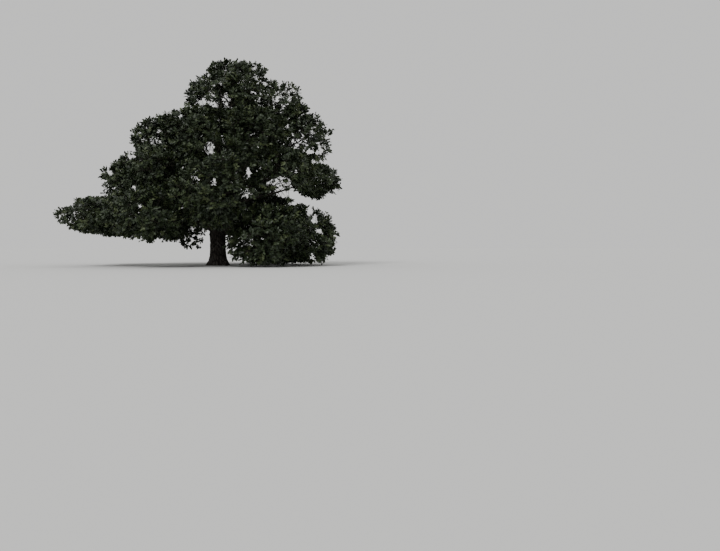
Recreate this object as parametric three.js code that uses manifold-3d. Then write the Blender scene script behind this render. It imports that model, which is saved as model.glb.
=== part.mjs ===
// A broad evergreen oak grown in the open: a short thick trunk, a leader that runs on up through the
// crown, boughs that reach out to all sides, and the masses of foliage that they carry, in five tiers.
// Millimetres, +Z up. The origin is the middle of the flat cut under the trunk, at ground level. +X is to
// the right of the tree's front and +Y is to its back.

import * as THREE from "three";
import { mergeVertices } from "three/addons/utils/BufferGeometryUtils.js";
import Module from "manifold-3d";

const wasm = await Module();
wasm.setup();

// Trunk and leader
const TRUNK_WIDTH = 1100;
const FORK_HEIGHT = 3000;
const FORK_WIDTH = 1120;
const FLARE_WIDTH = 1700;
const FLARE_HEIGHT = 420;
const FLARE_LOBES = 5;
const FLARE_LOBE_DEPTH = 0.14;
const TRUNK_MESH = { sides: 20, rings: 8 };
const LEADER_WIDTH = 860;
const LEADER_TIP_WIDTH = 200;
const LEADER_MESH = { sides: 10, rings: 10 };

// Boughs. Shares are of a bough's own length or width.
const BOUGH_TIP_WIDTH = 130;
const BOUGH_MESH = { sides: 5, rings: 6 };
const TAPER_POWER = 0.85;
const FORK_AT = 0.42;
const FORK_SHARE = 0.66;
const CROOK = 0.035;
const HANDLE = 0.36;
const ENTRY = 0.9;
const GAP = 0.4;

// Foliage. Shares are of the way from a mass's middle to the edge of its space.
const GROUND_CLEARANCE = 120;
const BETWEEN_MASSES = 20;
const UNDERSIDE_AT_TRUNK = 1300;
const UNDERSIDE_FALL = 0.16;
const REACH_VARIES = 0.03;
const SIZE_VARIES = 0.05;
const CORE_SHARE = 0.87;
const CORE_ROUGHNESS = 0.24;
const CORE_SEAM = 0.94;
const STEM_WIDTH = 115;
const TWIG_WIDTH = 70;
const TWIG_TAPER = 0.6;
const TWIGS = 7;
const TWIG_SPREAD = 1.62;
const TWIG_ROOTS_ALONG = 0.5;
const TWIG_END = 0.66;
const SIDE_TWIG_FROM = 0.33;
const SIDE_TWIG_TURN = 0.68;
const SIDE_TURN_VARIES = 0.2;
const SIDE_TWIG_WIDTH = 56;
const LEAF_OVERLAP = 0.04;
const LEAF_LENGTH = 0.5;
const SHORTEST_LEAF = 400;
const LEAF_SHRINK = 0.85;
const LEAF_LEAN = 0.8;
const LEAN_SHRINK = 0.6;
const LEAF_WIDTH = 0.8;
const LEAF_WIDEST_AT = 0.55;
const LEAF_THICKNESS = 0.06;
const EDGE_SLACK = 0.3;
const GOLDEN_ANGLE = Math.PI * (3 - Math.sqrt(5));

// Each tier's masses stand in a ring round an axis at x = axis, the first one at turn degrees from +X.
// Reach is from that axis to a mass's middle, and height is to its middle, or above the slanting underside
// on the skirt. Both, and the half size upwards, are given for the four sides. Lift moves single masses,
// named by their degrees: two up, to leave the trunk in view, and the two to their right down. The boughs of
// every other mass, counted from main, leave the stem at heights from low to high, and the next one's forks
// off it.
const TIERS = [
  {
    name: "skirt", count: 10, turn: 14, main: 1, axis: 0, overUnderside: true,
    reach: { right: 6400, back: 6200, left: 8650, front: 6200 },
    height: { right: 1600, back: 2200, left: 850, front: 2000 },
    lift: { 50: -500, 86: 1200, 266: 1450, 302: -600 },
    size: { out: 2800, along: 3500, up: { right: 2500, back: 2400, left: 1300, front: 2400 } },
    bough: { low: 2150, high: 2700, width: 460, rise: 0.5 },
  },
  {
    name: "lower", count: 8, turn: 0, main: 0, axis: 0,
    reach: { right: 6800, back: 5800, left: 5850, front: 5700 },
    height: { right: 6200, back: 6200, left: 5900, front: 6400 }, lift: {},
    size: { out: 2600, along: 3100, up: { right: 1400, back: 2500, left: 2000, front: 2500 } },
    bough: { low: 3900, high: 4700, width: 380, rise: 0.6 },
  },
  {
    name: "middle", count: 6, turn: 0, main: 0, axis: 200,
    reach: { right: 5800, back: 3800, left: 3800, front: 3600 },
    height: { right: 9150, back: 9200, left: 8900, front: 8800 }, lift: {},
    size: { out: 2700, along: 3000, up: { right: 2450, back: 2400, left: 2050, front: 2300 } },
    bough: { low: 6300, high: 7100, width: 300, rise: 0.8 },
  },
  {
    name: "upper", count: 4, turn: 0, main: 0, axis: 1000,
    reach: { right: 3350, back: 2200, left: 900, front: 2100 },
    height: { right: 11350, back: 11500, left: 11800, front: 11600 }, lift: {},
    size: { out: 2550, along: 2700, up: { right: 2400, back: 2200, left: 2300, front: 2200 } },
    bough: { low: 8400, high: 8900, width: 220, rise: 1.0 },
  },
  {
    name: "top", count: 1, turn: 0, axis: 1350,
    reach: { right: 0, back: 0, left: 0, front: 0 },
    height: { right: 12950, back: 12950, left: 12950, front: 12950 }, lift: {},
    size: { out: 2900, along: 2700, up: { right: 2150, back: 2150, left: 2150, front: 2150 } },
  },
];

const bark = new THREE.MeshStandardMaterial({ color: 0x4b463f, roughness: 0.95, metalness: 0 });
const leafage = new THREE.MeshStandardMaterial({ color: 0x2b3820, roughness: 0.75, metalness: 0 });

const UP = new THREE.Vector3(0, 0, 1);
const tree = new THREE.Group();

// A repeatable stream of numbers between 0 and 1.
function stream(seed) {
  let state = Math.imul(seed, 2654435761) >>> 0;
  return () => {
    state = (Math.imul(state, 1664525) + 1013904223) >>> 0;
    return state / 4294967296;
  };
}

// A factor drawn evenly from 1 - share to 1 + share.
const vary = (draw, share) => 1 + share * (2 * draw() - 1);

// The value at an azimuth of something given for the right, back, left and front.
function around(sides, azimuth) {
  const x = Math.cos(azimuth);
  const y = Math.sin(azimuth);
  return (x > 0 ? sides.right : sides.left) * x * x + (y > 0 ? sides.back : sides.front) * y * y;
}

// Two directions square to a given one and to each other.
function acrossOf(direction) {
  const x = new THREE.Vector3(1, 0, 0);
  const first = new THREE.Vector3().crossVectors(direction, Math.abs(direction.z) > 0.9 ? x : UP).normalize();
  return [first, new THREE.Vector3().crossVectors(direction, first)];
}

function bare(geometry) {
  geometry.deleteAttribute("normal");
  geometry.deleteAttribute("uv");
  return mergeVertices(geometry, 1e-4);
}

// Moves every vertex of a geometry by a function of its place.
function bend(geometry, place) {
  const position = geometry.getAttribute("position");
  const v = new THREE.Vector3();
  for (let i = 0; i < position.count; i++) {
    place(v.fromBufferAttribute(position, i));
    position.setXYZ(i, v.x, v.y, v.z);
  }
  return geometry;
}

function solidOf(geometry) {
  return new wasm.Manifold(
    new wasm.Mesh({
      numProp: 3,
      vertProperties: new Float32Array(geometry.getAttribute("position").array),
      triVerts: new Uint32Array(geometry.index.array),
    }),
  );
}

// The largest single body of a solid, without the hollows that joining has sealed.
function wholeBody(solid) {
  const bodies = solid.decompose().filter((body) => body.volume() > 0);
  return bodies.sort((a, b) => b.volume() - a.volume())[0];
}

function addNode(name, solid, material) {
  const { numVert, numProp, vertProperties, triVerts } = solid.getMesh();
  const points = new Float32Array(numVert * 3);
  for (let i = 0; i < numVert; i++) {
    points.set(vertProperties.subarray(i * numProp, i * numProp + 3), i * 3);
  }
  const geometry = new THREE.BufferGeometry();
  geometry.setAttribute("position", new THREE.BufferAttribute(points, 3));
  geometry.setIndex(new THREE.BufferAttribute(triVerts, 1));
  geometry.computeVertexNormals();
  const mesh = new THREE.Mesh(geometry, material);
  mesh.name = name;
  tree.add(mesh);
}

// A limb's middle line: a smooth bow from start to end that leaves along one direction and arrives along
// another, with a crook to each side that fades out at both ends.
class LimbLine extends THREE.Curve {
  constructor(start, leave, end, arrive, crook) {
    super();
    const handle = start.distanceTo(end) * HANDLE;
    this.bow = new THREE.CubicBezierCurve3(
      start,
      start.clone().addScaledVector(leave, handle),
      end.clone().addScaledVector(arrive, -handle),
      end,
    );
    this.across = leave.clone().cross(end.clone().sub(start)).normalize();
    this.crook = crook * start.distanceTo(end);
  }

  getPoint(t, target = new THREE.Vector3()) {
    const aside = this.crook * Math.sin(3 * Math.PI * t) * Math.sin(Math.PI * t);
    return this.bow.getPoint(t, target).addScaledVector(this.across, aside);
  }
}

// A closed round limb along a line. Radius is a function of the share of the length and of the angle. To cut
// a neighbour clear of it, the limb is grown by a margin all round and at its tip.
function limbSolid(line, radius, { sides, rings }, grow) {
  const frames = line.computeFrenetFrames(rings);
  const geometry = bare(new THREE.CylinderGeometry(1, 1, 1, sides, rings));
  return solidOf(
    bend(geometry, (v) => {
      const share = v.y + 0.5;
      const ring = Math.round(share * rings);
      const width = radius(share, Math.atan2(v.z, v.x)) + grow;
      const { x, z } = v;
      line.getPointAt(share, v);
      v.addScaledVector(frames.binormals[ring], x * width).addScaledVector(frames.normals[ring], z * width);
      if (ring === rings) v.addScaledVector(frames.tangents[ring], grow);
    }),
  );
}

// A straight twig with three sides, from a to b.
function twigSolid(a, b, widthAtA, widthAtB) {
  const along = b.clone().sub(a).normalize();
  const geometry = bare(new THREE.CylinderGeometry(widthAtB / 2, widthAtA / 2, a.distanceTo(b), 3, 1));
  geometry.applyQuaternion(new THREE.Quaternion().setFromUnitVectors(new THREE.Vector3(0, 1, 0), along));
  geometry.translate((a.x + b.x) / 2, (a.y + b.y) / 2, (a.z + b.z) / 2);
  return solidOf(geometry);
}

// The root, tip, right edge, left edge, upper face and lower face of a leaf blade along a direction.
function leafCorners(root, along, face, length) {
  const side = along.clone().cross(face).normalize();
  const up = side.clone().cross(along).normalize();
  const corner = (l, s, u) =>
    root
      .clone()
      .addScaledVector(along, l * length)
      .addScaledVector(side, s * length * LEAF_WIDTH)
      .addScaledVector(up, u * length * LEAF_THICKNESS);
  return [
    corner(0, 0, 0),
    corner(1, 0, 0),
    corner(LEAF_WIDEST_AT, 0.5, 0),
    corner(LEAF_WIDEST_AT, -0.5, 0),
    corner(0.5, 0, 0.5),
    corner(0.5, 0, -0.5),
  ];
}

// A blade of eight faces: an octahedron with its corners at +x, -x, +y, -y, +z and -z moved to the leaf's.
function leafSolid([root, tip, right, left, top, under]) {
  const geometry = bare(new THREE.OctahedronGeometry(1, 0));
  bend(geometry, (v) => {
    if (Math.abs(v.x) > 0.5) v.copy(v.x > 0 ? root : tip);
    else if (Math.abs(v.y) > 0.5) v.copy(v.y > 0 ? right : left);
    else v.copy(v.z > 0 ? top : under);
  });
  return solidOf(geometry);
}

// The space that one mass keeps to: an egg round its middle, cut by a plane between it and each neighbour.
class Space {
  constructor(middle, azimuth, size) {
    this.middle = middle;
    this.axes = [
      new THREE.Vector3(Math.cos(azimuth), Math.sin(azimuth), 0),
      new THREE.Vector3(-Math.sin(azimuth), Math.cos(azimuth), 0),
      UP,
    ];
    this.size = size;
    this.planes = [{ normal: new THREE.Vector3(0, 0, -1), offset: -GROUND_CLEARANCE }];
  }

  // The egg's own half size along a direction.
  eggReach(direction) {
    const terms = this.axes.map((axis, i) => (axis.dot(direction) / this.size[i]) ** 2);
    return 1 / Math.sqrt(terms[0] + terms[1] + terms[2]);
  }

  keepOff(other) {
    const normal = other.middle.clone().sub(this.middle);
    const apart = normal.length();
    normal.divideScalar(apart);
    const mine = this.eggReach(normal);
    const theirs = other.eggReach(normal);
    if (mine + theirs < apart) return;
    const at = (apart * mine) / (mine + theirs) - BETWEEN_MASSES / 2;
    this.planes.push({ normal, offset: normal.dot(this.middle) + at });
  }

  // How far the planes lie from the middle along a direction.
  planeReach(direction) {
    let far = Infinity;
    for (const { normal, offset } of this.planes) {
      const rate = normal.dot(direction);
      if (rate > 1e-6) far = Math.min(far, (offset - normal.dot(this.middle)) / rate);
    }
    return far;
  }

  // How far the space reaches from its middle along a direction.
  reach(direction) {
    return Math.min(this.eggReach(direction), this.planeReach(direction));
  }

  // The point that lies a share of the way from the middle to the edge along a direction.
  at(direction, share) {
    return this.middle.clone().addScaledVector(direction, this.reach(direction) * share);
  }

  holds(point) {
    const out = point.clone().sub(this.middle);
    const far = out.length();
    return far < 1 || far <= this.reach(out.divideScalar(far)) + EDGE_SLACK;
  }
}

// Where the masses stand
const masses = [];
TIERS.forEach((tier, level) => {
  for (let k = 0; k < tier.count; k++) {
    const degrees = tier.turn + (k * 360) / tier.count;
    const azimuth = (degrees * Math.PI) / 180;
    const draw = stream(100 * level + k + 1);
    const reach = around(tier.reach, azimuth) * vary(draw, REACH_VARIES);
    const { out, along, up } = tier.size;
    const size = [out, along, around(up, azimuth)].map((half) => half * vary(draw, SIZE_VARIES));
    const x = tier.axis + reach * Math.cos(azimuth);
    const underside = tier.overUnderside ? UNDERSIDE_AT_TRUNK - UNDERSIDE_FALL * x : 0;
    const height = underside + around(tier.height, azimuth) + (tier.lift[degrees] ?? 0);
    const middle = new THREE.Vector3(x, reach * Math.sin(azimuth), height);
    const name = `${tier.name}_${Math.round(degrees)}`;
    masses.push({ name, tier, k, azimuth, draw, middle, space: new Space(middle, azimuth, size) });
  }
});
for (const a of masses) {
  for (const b of masses) {
    if (a !== b) a.space.keepOff(b.space);
  }
}

// Trunk: one taper from the flared foot to the fork, with root lobes that die out up the flare
const trunkLine = new THREE.LineCurve3(new THREE.Vector3(0, 0, 0), new THREE.Vector3(0, 0, FORK_HEIGHT));
function trunkRadius(share, angle) {
  const height = share * FORK_HEIGHT;
  const flare = Math.exp(-height / FLARE_HEIGHT);
  const lobes = 1 + FLARE_LOBE_DEPTH * flare * Math.cos(FLARE_LOBES * angle);
  const taper = TRUNK_WIDTH + (FORK_WIDTH - TRUNK_WIDTH) * share ** 3;
  return ((taper + (FLARE_WIDTH - TRUNK_WIDTH) * flare) / 2) * lobes;
}
const trunkSolid = (grow) => limbSolid(trunkLine, trunkRadius, TRUNK_MESH, grow);
const trunkGrown = trunkSolid(GAP);

// Leader: from the fork to the underside of the top mass, leaning to the right as it rises
const topMass = masses[masses.length - 1];
const leaderStart = new THREE.Vector3(0, 0, FORK_HEIGHT + GAP);
const leaderEnd = topMass.space.at(new THREE.Vector3(0, 0, -1), ENTRY);
const leaderLine = new LimbLine(leaderStart, UP, leaderEnd, UP, CROOK * 0.5);
topMass.limb = { line: leaderLine, base: LEADER_WIDTH, tip: LEADER_TIP_WIDTH, mesh: LEADER_MESH, cutBy: [] };

// The point of the stem at a height, on the trunk below the fork and on the leader above it.
function stemAt(height) {
  if (height <= FORK_HEIGHT) return new THREE.Vector3(0, 0, height);
  let low = 0;
  let high = 1;
  for (let i = 0; i < 30; i++) {
    const middle = (low + high) / 2;
    if (leaderLine.getPoint(middle).z < height) low = middle;
    else high = middle;
  }
  return leaderLine.getPoint(low);
}

// Boughs: the main ones from the stem, and between them those that fork off a main one
function boughTo(mass, start, leave, base, cutBy) {
  const from = start.clone().sub(mass.middle).normalize();
  const end = mass.space.at(from, ENTRY);
  const crook = CROOK * (mass.draw() < 0.5 ? -1 : 1);
  const line = new LimbLine(start, leave, end, from.clone().negate(), crook);
  mass.limb = { line, base, tip: BOUGH_TIP_WIDTH, mesh: BOUGH_MESH, cutBy };
}
const limbRadius = ({ base, tip }, share) => (base + (tip - base) * share ** TAPER_POWER) / 2;
for (const tier of TIERS.filter((each) => each.bough)) {
  const ring = masses.filter((mass) => mass.tier === tier);
  const { low, high, width, rise } = tier.bough;
  const main = ring.filter((mass) => mass.k % 2 === tier.main);
  main.forEach((mass, i) => {
    const start = stemAt(low + ((high - low) * ((i * 2) % main.length)) / main.length);
    const leave = new THREE.Vector3(Math.cos(mass.azimuth), Math.sin(mass.azimuth), rise).normalize();
    boughTo(mass, start, leave, width, [topMass]);
  });
  for (const mass of ring.filter((each) => !main.includes(each))) {
    const parent = ring[(mass.k + tier.count - 1) % tier.count];
    const start = parent.limb.line.getPointAt(FORK_AT);
    const toMass = mass.middle.clone().sub(start).normalize();
    const leave = parent.limb.line.getTangentAt(FORK_AT).add(toMass).normalize();
    boughTo(mass, start, leave, 2 * limbRadius(parent.limb, FORK_AT) * FORK_SHARE, [parent]);
  }
}

// Every limb as a solid, cut clear of the trunk and of the limb that it leaves
const solidLimb = (limb, grow) => limbSolid(limb.line, (share) => limbRadius(limb, share), limb.mesh, grow);
for (const { limb } of masses) limb.grown = solidLimb(limb, GAP);
for (const mass of masses) {
  let solid = solidLimb(mass.limb, 0);
  if (mass !== topMass) solid = solid.subtract(trunkGrown);
  for (const other of mass.limb.cutBy) solid = solid.subtract(other.limb.grown);
  mass.limb.solid = wholeBody(solid);
}
const wood = masses.reduce((all, mass) => all.add(mass.limb.grown), trunkGrown);

// The i-th of n directions spread evenly round a pole, from the pole itself to past the equator.
function spread(i, n, pole, phase) {
  const level = 1 - (TWIG_SPREAD * i) / (n - 1);
  const angle = i * GOLDEN_ANGLE + phase;
  const ring = Math.sqrt(1 - level * level);
  const [x, y] = acrossOf(pole);
  return pole
    .clone()
    .multiplyScalar(level)
    .addScaledVector(x, ring * Math.cos(angle))
    .addScaledVector(y, ring * Math.sin(angle));
}

// A mass's twigs: some that leave its stem to all sides, and partway up each a side twig to each hand.
function twigPlan(mass, root, pole) {
  const { space, draw } = mass;
  const phase = 2 * Math.PI * draw();
  const plan = [];
  for (let i = 0; i < TWIGS; i++) {
    const out = spread(i, TWIGS, pole, phase);
    const [x, y] = acrossOf(out);
    const tilt = 2 * Math.PI * draw();
    const across = x.multiplyScalar(Math.cos(tilt)).addScaledVector(y, Math.sin(tilt));
    const alongStem = 1 - (TWIG_ROOTS_ALONG * i) / TWIGS;
    plan.push({ start: root.clone().lerp(space.middle, alongStem), out, width: TWIG_WIDTH });
    for (const hand of [-1, 1]) {
      const turn = hand * SIDE_TWIG_TURN * vary(draw, SIDE_TURN_VARIES);
      const aside = out.clone().multiplyScalar(Math.cos(turn)).addScaledVector(across, Math.sin(turn));
      plan.push({ start: space.at(out, SIDE_TWIG_FROM), out: aside, width: SIDE_TWIG_WIDTH });
    }
  }
  return plan;
}

// The leaf at a twig's tip, leaning a little off the twig's own direction, and shorter where it would not
// be clear of the limbs and inside the space.
function leafAt(mass, out, clear) {
  const { space, draw } = mass;
  const lean = new THREE.Vector3(draw() - 0.5, draw() - 0.5, draw() - 0.5).multiplyScalar(2 * LEAF_LEAN);
  const face = new THREE.Vector3(draw() - 0.5, draw() - 0.5, 0.9).normalize();
  const root = space.at(out, TWIG_END - LEAF_OVERLAP);
  for (let length = space.reach(out) * LEAF_LENGTH; length > SHORTEST_LEAF; length *= LEAF_SHRINK) {
    const corners = leafCorners(root, out.clone().add(lean).normalize(), face, length);
    const blade = leafSolid(corners);
    if (clear(blade, corners)) return blade;
    lean.multiplyScalar(LEAN_SHRINK);
  }
  return null;
}

// A mass: a stem that carries on from the bough's tip, twigs with a leaf at each tip, and the dense inner
// foliage as a smaller core. A twig or leaf that would leave the space or touch a limb is skipped.
function foliageSolid(mass) {
  const { space, limb, draw } = mass;
  const pole = limb.line.getTangentAt(1);
  const root = limb.line.getPointAt(1).addScaledVector(pole, GAP);
  const clear = (solid, corners) => corners.every((c) => space.holds(c)) && solid.intersect(wood).isEmpty();
  const parts = [twigSolid(root, space.middle, STEM_WIDTH, TWIG_WIDTH)];
  for (const { start, out, width } of twigPlan(mass, root, pole)) {
    const tip = space.at(out, TWIG_END);
    const twig = twigSolid(start, tip, width, width * TWIG_TAPER);
    const leaf = leafAt(mass, out, clear);
    if (leaf && clear(twig, [tip])) parts.push(twig, leaf);
  }
  const core = bend(bare(new THREE.IcosahedronGeometry(1, 1)), (v) => {
    const out = v.clone().normalize();
    const rough = space.eggReach(out) * CORE_SHARE * (1 + CORE_ROUGHNESS * (draw() - 0.5));
    v.copy(space.middle).addScaledVector(out, Math.min(rough, space.planeReach(out) * CORE_SEAM));
  });
  parts.push(solidOf(core).subtract(wood));
  return wholeBody(wasm.Manifold.union(parts));
}

addNode("trunk", trunkSolid(0), bark);
for (const mass of masses) {
  addNode(mass === topMass ? "leader" : `bough_${mass.name}`, mass.limb.solid, bark);
  addNode(`foliage_${mass.name}`, foliageSolid(mass), leafage);
}

export default tree;
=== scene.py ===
import math
import bpy
import numpy as np
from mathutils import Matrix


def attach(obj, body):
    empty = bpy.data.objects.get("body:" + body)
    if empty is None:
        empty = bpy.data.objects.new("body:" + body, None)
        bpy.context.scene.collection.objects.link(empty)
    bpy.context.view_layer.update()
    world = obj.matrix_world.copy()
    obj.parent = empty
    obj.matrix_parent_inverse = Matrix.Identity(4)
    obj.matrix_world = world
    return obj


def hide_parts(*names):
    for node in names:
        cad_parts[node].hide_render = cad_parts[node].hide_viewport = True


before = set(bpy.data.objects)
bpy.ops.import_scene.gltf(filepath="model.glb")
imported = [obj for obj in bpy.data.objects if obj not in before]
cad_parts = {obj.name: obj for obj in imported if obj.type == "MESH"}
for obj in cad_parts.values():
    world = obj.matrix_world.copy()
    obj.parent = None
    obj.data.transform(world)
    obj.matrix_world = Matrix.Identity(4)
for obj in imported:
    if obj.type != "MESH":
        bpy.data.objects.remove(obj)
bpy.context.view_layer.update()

# Trunk
# The short bole of an old evergreen oak, from the ground to its first fork. Its thick grey-brown bark has
# split into long plates with furrows between them, and its foot flares out over the roots.
TRUNK_WIDTH = 1.1
FORK_HEIGHT = 3.0
FORK_WIDTH = 1.12
WIDENING_POWER = 3
FLARE_WIDTH = 1.7
FLARE_HEIGHT = 0.42
FLARE_LOBES = 5
FLARE_LOBE_DEPTH = 0.14
TRUNK_SIDES, TRUNK_RINGS = 204, 100
TRUNK_BARK = 1
TRUNK_PLATES = 27
PLATE_WIDTH, PLATE_LENGTH = 0.125, 0.44
PLATE_ROWS = 64
HEART_PLACE = (0.1, 0.9)
PLATE_LIFT = 0.3
WAVER_ROUND, WAVER_ALONG = 0.55, 0.3
FURROW_SHARE = 0.36
FURROW_DEPTH = 0.042
FURROW_FADE = 0.8
PLATE_ROUGHNESS = 0.16
WAVE_RATES = (0.3, 1)
SWELLING = 0.03
# The darkest bark colour: the fibres' own dark streaks, and painted shade in the furrows and fine cracks.
BARK_DARK_AND_SHADE = (0.018, 0.015, 0.013)
BARK_MID = (0.082, 0.072, 0.06)
BARK_PALE = (0.18, 0.168, 0.15)
GRAIN_STRETCH = 0.3
FIBRE_SCALE, FIBRE_DETAIL, FIBRE_SHADE = 38, 8, 0.6
CRACK_SCALE, CRACK_WIDTH, CRACK_SHADE, CRACK_DEPTH = 19, 0.16, 0.4, 1.1
PATCH_SCALE, PATCH_DETAIL = 2.6, 5
PATCH_FROM, PATCH_TO = 0.46, 0.7
BARK_BUMP, BARK_BUMP_HEIGHT = 0.6, 0.012
BARK_ROUGHNESS, BARK_GLOSS = 0.92, 0.25
UP = np.array([0.0, 0.0, 1.0])
RIGHT = np.array([1.0, 0.0, 0.0])
STEEP = 0.9
TINY = 1e-9


def unit(vectors):
    """The same vectors with a length of one."""
    return vectors / np.maximum(np.linalg.norm(vectors, axis=-1, keepdims=True), TINY)


def square_to(direction):
    """A direction square to a given one."""
    return unit(np.cross(direction, RIGHT if abs(direction[2]) > STEEP else UP))


def ripple(rng, angle, along, turns, rate, waves=7):
    """A smooth random pattern on a limb, from about -1 to 1, that closes round it."""
    total = np.zeros(np.broadcast(angle, along).shape)
    for _ in range(waves):
        turn = rng.integers(0, turns + 1) * rng.choice([-1, 1])
        total += np.cos(turn * angle + rng.uniform(*WAVE_RATES) * rate * along + rng.uniform(0, 2 * math.pi))
    return total / math.sqrt(waves)


def bark_depth(radius):
    """How deep the bark's relief is on a limb of some radius, as a share of its depth on the trunk."""
    return np.minimum(1, 2 * radius / TRUNK_WIDTH) ** FURROW_FADE


def bark_relief(seed, plates, angle, along, radius):
    """How far the bark stands proud of a limb's radius, and how near each point is to a furrow's floor."""
    rng = np.random.default_rng(seed)
    hearts = rng.uniform(*HEART_PLACE, (plates, PLATE_ROWS, 2))
    u = plates * angle / (2 * math.pi) + WAVER_ROUND * ripple(rng, angle, along, turns=5, rate=3.0)
    v = along / PLATE_LENGTH + WAVER_ALONG * ripple(rng, angle, along, turns=7, rate=4.0)
    column, row = np.floor(u).astype(int), np.floor(v).astype(int)
    nearest = second = np.full(u.shape, np.inf)
    for across in (-1, 0, 1):
        for up in (-1, 0, 1):
            heart = hearts[(column + across) % plates, (row + up) % PLATE_ROWS]
            away = np.hypot(column + across + heart[..., 0] - u, row + up + heart[..., 1] - v)
            second = np.minimum(second, np.maximum(nearest, away))
            nearest = np.minimum(nearest, away)
    deep = np.clip(1 - (second - nearest) / FURROW_SHARE, 0, 1)
    rough = PLATE_ROUGHNESS * ripple(rng, angle, along, turns=60, rate=45.0, waves=12)
    swell = SWELLING * ripple(rng, angle, along, turns=3, rate=2.5)
    lift = PLATE_LIFT - deep + rough * (1 - deep)
    return FURROW_DEPTH * bark_depth(radius) * lift + swell * radius, deep


def sides_along(points):
    """Two directions square to a line at each of its points, with no twist from one to the next."""
    tangents = unit(np.gradient(points, axis=0))
    side = square_to(tangents[0])
    sides = []
    for tangent in tangents:
        side = unit(side - tangent * (side @ tangent))
        sides.append(side)
    return np.array(sides), np.cross(tangents, sides)


def joined_mesh(name, points, faces, grain=None):
    """A smooth mesh object from arrays. The grain holds how much painted shade each point gets in a furrow,
    and its place on its limb.
    """
    corners = faces.shape[1]
    mesh = bpy.data.meshes.new(name)
    mesh.vertices.add(len(points))
    mesh.vertices.foreach_set("co", points.astype(np.float32).ravel())
    mesh.loops.add(faces.size)
    mesh.loops.foreach_set("vertex_index", faces.astype(np.int32).ravel())
    mesh.polygons.add(len(faces))
    mesh.polygons.foreach_set("loop_start", np.arange(0, faces.size, corners, dtype=np.int32))
    mesh.polygons.foreach_set("loop_total", np.full(len(faces), corners, np.int32))
    mesh.polygons.foreach_set("use_smooth", np.ones(len(faces), bool))
    mesh.update(calc_edges=True)
    if grain is not None:
        grain = grain.astype(np.float32)
        # The furrow value is painted shade for the bark's colour in the furrow floors.
        mesh.attributes.new("furrow", "FLOAT", "POINT").data.foreach_set("value", grain[:, 0])
        places = mesh.attributes.new("place", "FLOAT_VECTOR", "POINT").data
        places.foreach_set("vector", grain[:, 1:].ravel())
    piece = bpy.data.objects.new(name, mesh)
    bpy.context.scene.collection.objects.link(piece)
    return piece


def swept(points, radius):
    """The points and faces of a closed limb: rings of the given radii, one row of them for each point."""
    rings, sides = radius.shape
    angle = np.arange(sides) * 2 * math.pi / sides
    right, up = sides_along(points)
    around = right[:, None] * np.cos(angle)[None, :, None] + up[:, None] * np.sin(angle)[None, :, None]
    skin = points[:, None] + around * radius[..., None]
    verts = np.concatenate([skin.reshape(-1, 3), points[:1], points[-1:]])
    ring, side = np.meshgrid(np.arange(rings - 1), np.arange(sides), indexing="ij")
    a = ring * sides + side
    b = ring * sides + (side + 1) % sides
    walls = np.stack([a, b, b + sides, a, b + sides, a + sides], axis=-1).reshape(-1, 3)
    first = np.arange(sides)
    after = (first + 1) % sides
    foot = np.stack([after, first, np.full(sides, rings * sides)], axis=-1)
    last = (rings - 1) * sides
    tip = np.stack([last + first, last + after, np.full(sides, rings * sides + 1)], axis=-1)
    return verts, np.concatenate([walls, foot, tip])


def barked(seed, plates, points, radius, along):
    """A limb with the bark's relief: its points, its faces and its grain."""
    sides = radius.shape[1]
    angle = (np.arange(sides) * 2 * math.pi / sides)[None, :]
    relief, deep = bark_relief(seed, plates, angle, along[:, None], radius)
    verts, faces = swept(points, radius + relief)
    # How deep each point lies in a furrow, which darkens the bark there as painted shade.
    furrow = deep * bark_depth(radius)
    level = np.broadcast_to(along[:, None], radius.shape)
    grain = np.stack([furrow, radius * np.cos(angle), radius * np.sin(angle), level], axis=-1).reshape(-1, 4)
    ends = [(0, 0, 0, along[0]), (0, 0, 0, along[-1])]
    return verts, faces, np.concatenate([grain, ends])


def new_finish(name, roughness, gloss):
    """A new material and its shader."""
    material = bpy.data.materials.new(name)
    material.use_nodes = True
    shader = material.node_tree.nodes["Principled BSDF"]
    shader.inputs["Roughness"].default_value = roughness
    shader.inputs["Specular IOR Level"].default_value = gloss
    return material, shader


def add_node(material, kind, values=None, **settings):
    """A new node of a material, with its settings and the values of some of its inputs."""
    node = material.node_tree.nodes.new(kind)
    for name, setting in settings.items():
        setattr(node, name, setting)
    for name, value in (values or {}).items():
        node.inputs[name].default_value = value
    return node


def noise(material, place, scale, detail):
    """A cloudy pattern from 0 to 1."""
    node = add_node(material, "ShaderNodeTexNoise", {"Scale": scale, "Detail": detail})
    material.node_tree.links.new(place, node.inputs["Vector"])
    return node.outputs["Fac"]


def weighted(material, value, weight, rest, clamp=True):
    """A value times its weight, and the rest on top of it."""
    node = add_node(material, "ShaderNodeMath", {1: weight}, operation="MULTIPLY_ADD", use_clamp=clamp)
    material.node_tree.links.new(value, node.inputs[0])
    material.node_tree.links.new(rest, node.inputs[2])
    return node.outputs["Value"]


def colour_run(material, value, low, low_colour, high, high_colour):
    """A colour that runs from one to the other while a value rises from low to high."""
    node = add_node(material, "ShaderNodeValToRGB")
    ends = node.color_ramp.elements
    ends[0].position, ends[0].color = low, (*low_colour, 1)
    ends[1].position, ends[1].color = high, (*high_colour, 1)
    material.node_tree.links.new(value, node.inputs["Fac"])
    return node.outputs["Color"]


def bump(material, height, strength, distance):
    """The surface's direction where a height is laid on it."""
    node = add_node(material, "ShaderNodeBump", {"Strength": strength, "Distance": distance})
    material.node_tree.links.new(height, node.inputs["Height"])
    return node.outputs["Normal"]


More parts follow.
